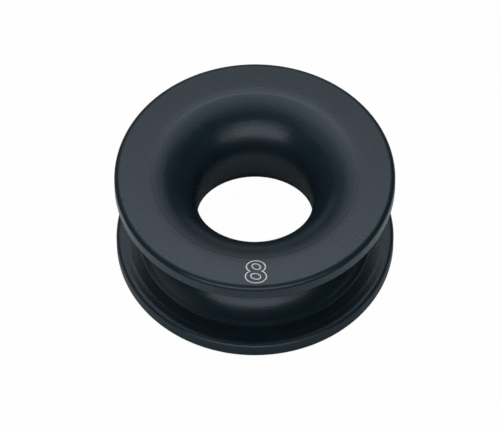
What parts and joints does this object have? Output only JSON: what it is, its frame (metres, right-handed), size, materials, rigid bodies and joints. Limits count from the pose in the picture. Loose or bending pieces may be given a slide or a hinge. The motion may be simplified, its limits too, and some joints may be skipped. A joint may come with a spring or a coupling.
{
  "type": "lead ring",
  "caption": "Low-friction turned ring with a bell-mouthed bore that leads a line and a deep outer groove for its lashing.",
  "frame": {"origin": "on the ring's axis at its lower flat face, on which it rests", "axes": "+Z along the ring's axis, upwards; the ring is the same all round, and X and Y lie in its lower face"},
  "size_m": [0.0194, 0.0194, 0.0083],
  "materials": {
    "anodised_aluminium": "satin hard anodised"
  },
  "bodies": {
    "root": {"lead_ring": "anodised_aluminium"}
  },
  "joints": []
}
